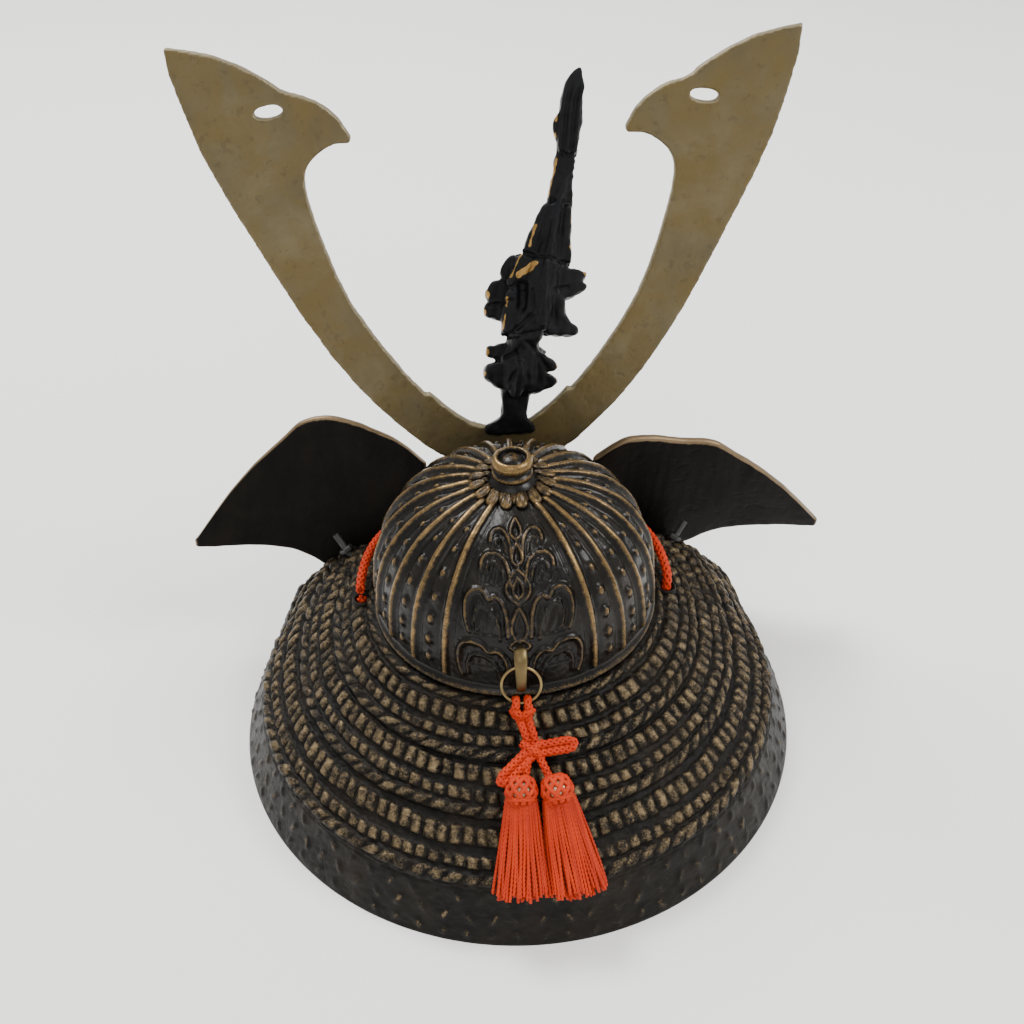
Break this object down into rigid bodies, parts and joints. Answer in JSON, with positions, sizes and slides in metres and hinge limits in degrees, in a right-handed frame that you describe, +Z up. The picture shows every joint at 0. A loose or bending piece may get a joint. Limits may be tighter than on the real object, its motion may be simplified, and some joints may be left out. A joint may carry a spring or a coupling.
{
  "type": "kabuto samurai helmet, half-size display casting",
  "caption": "Cast samurai helmet ornament with ribbed bowl, flared neck guard, ear plates, tall horns, dragon crest, chin cord and back tassels.",
  "frame": {"origin": "on the table, under the middle of the whole helmet's box", "axes": "+Z up, -Y toward the front of the helmet, +X toward its own left side, which is the left of the picture taken from behind"},
  "size_m": [0.226, 0.1786, 0.2119],
  "materials": {
    "guard_bronze": "matt black-brown patina with bronze rubbed through on the raised lacing",
    "bowl_bronze": "glossy black-brown patina, gold rubbed on ribs and leaves",
    "ear_bronze": "matt near-black back with a lighter bronze edge",
    "horn_brass": "satin olive-brown brass, mottled, brighter at the edges",
    "crest_black": "black patina with small gilt touches",
    "ring_brass": "worn yellow brass",
    "bolt_steel": "dull plated steel",
    "orange_cord": "twisted rayon cord and thread"
  },
  "bodies": {
    "root": {"neck_guard": "guard_bronze", "crown_bowl": "bowl_bronze", "crown_finial": "bowl_bronze", "visor": "bowl_bronze", "horn_bracket": "bowl_bronze", "ear_plate_left": "ear_bronze", "ear_plate_right": "ear_bronze", "ear_bolt_left": "bolt_steel", "ear_bolt_right": "bolt_steel", "back_staple": "ring_brass", "tassel_ring": "ring_brass", "tassel_cord": "orange_cord", "tassel_left": "orange_cord", "tassel_right": "orange_cord", "chin_cord": "orange_cord", "horn_plate": "horn_brass", "dragon_crest": "crest_black"}
  },
  "joints": []
}
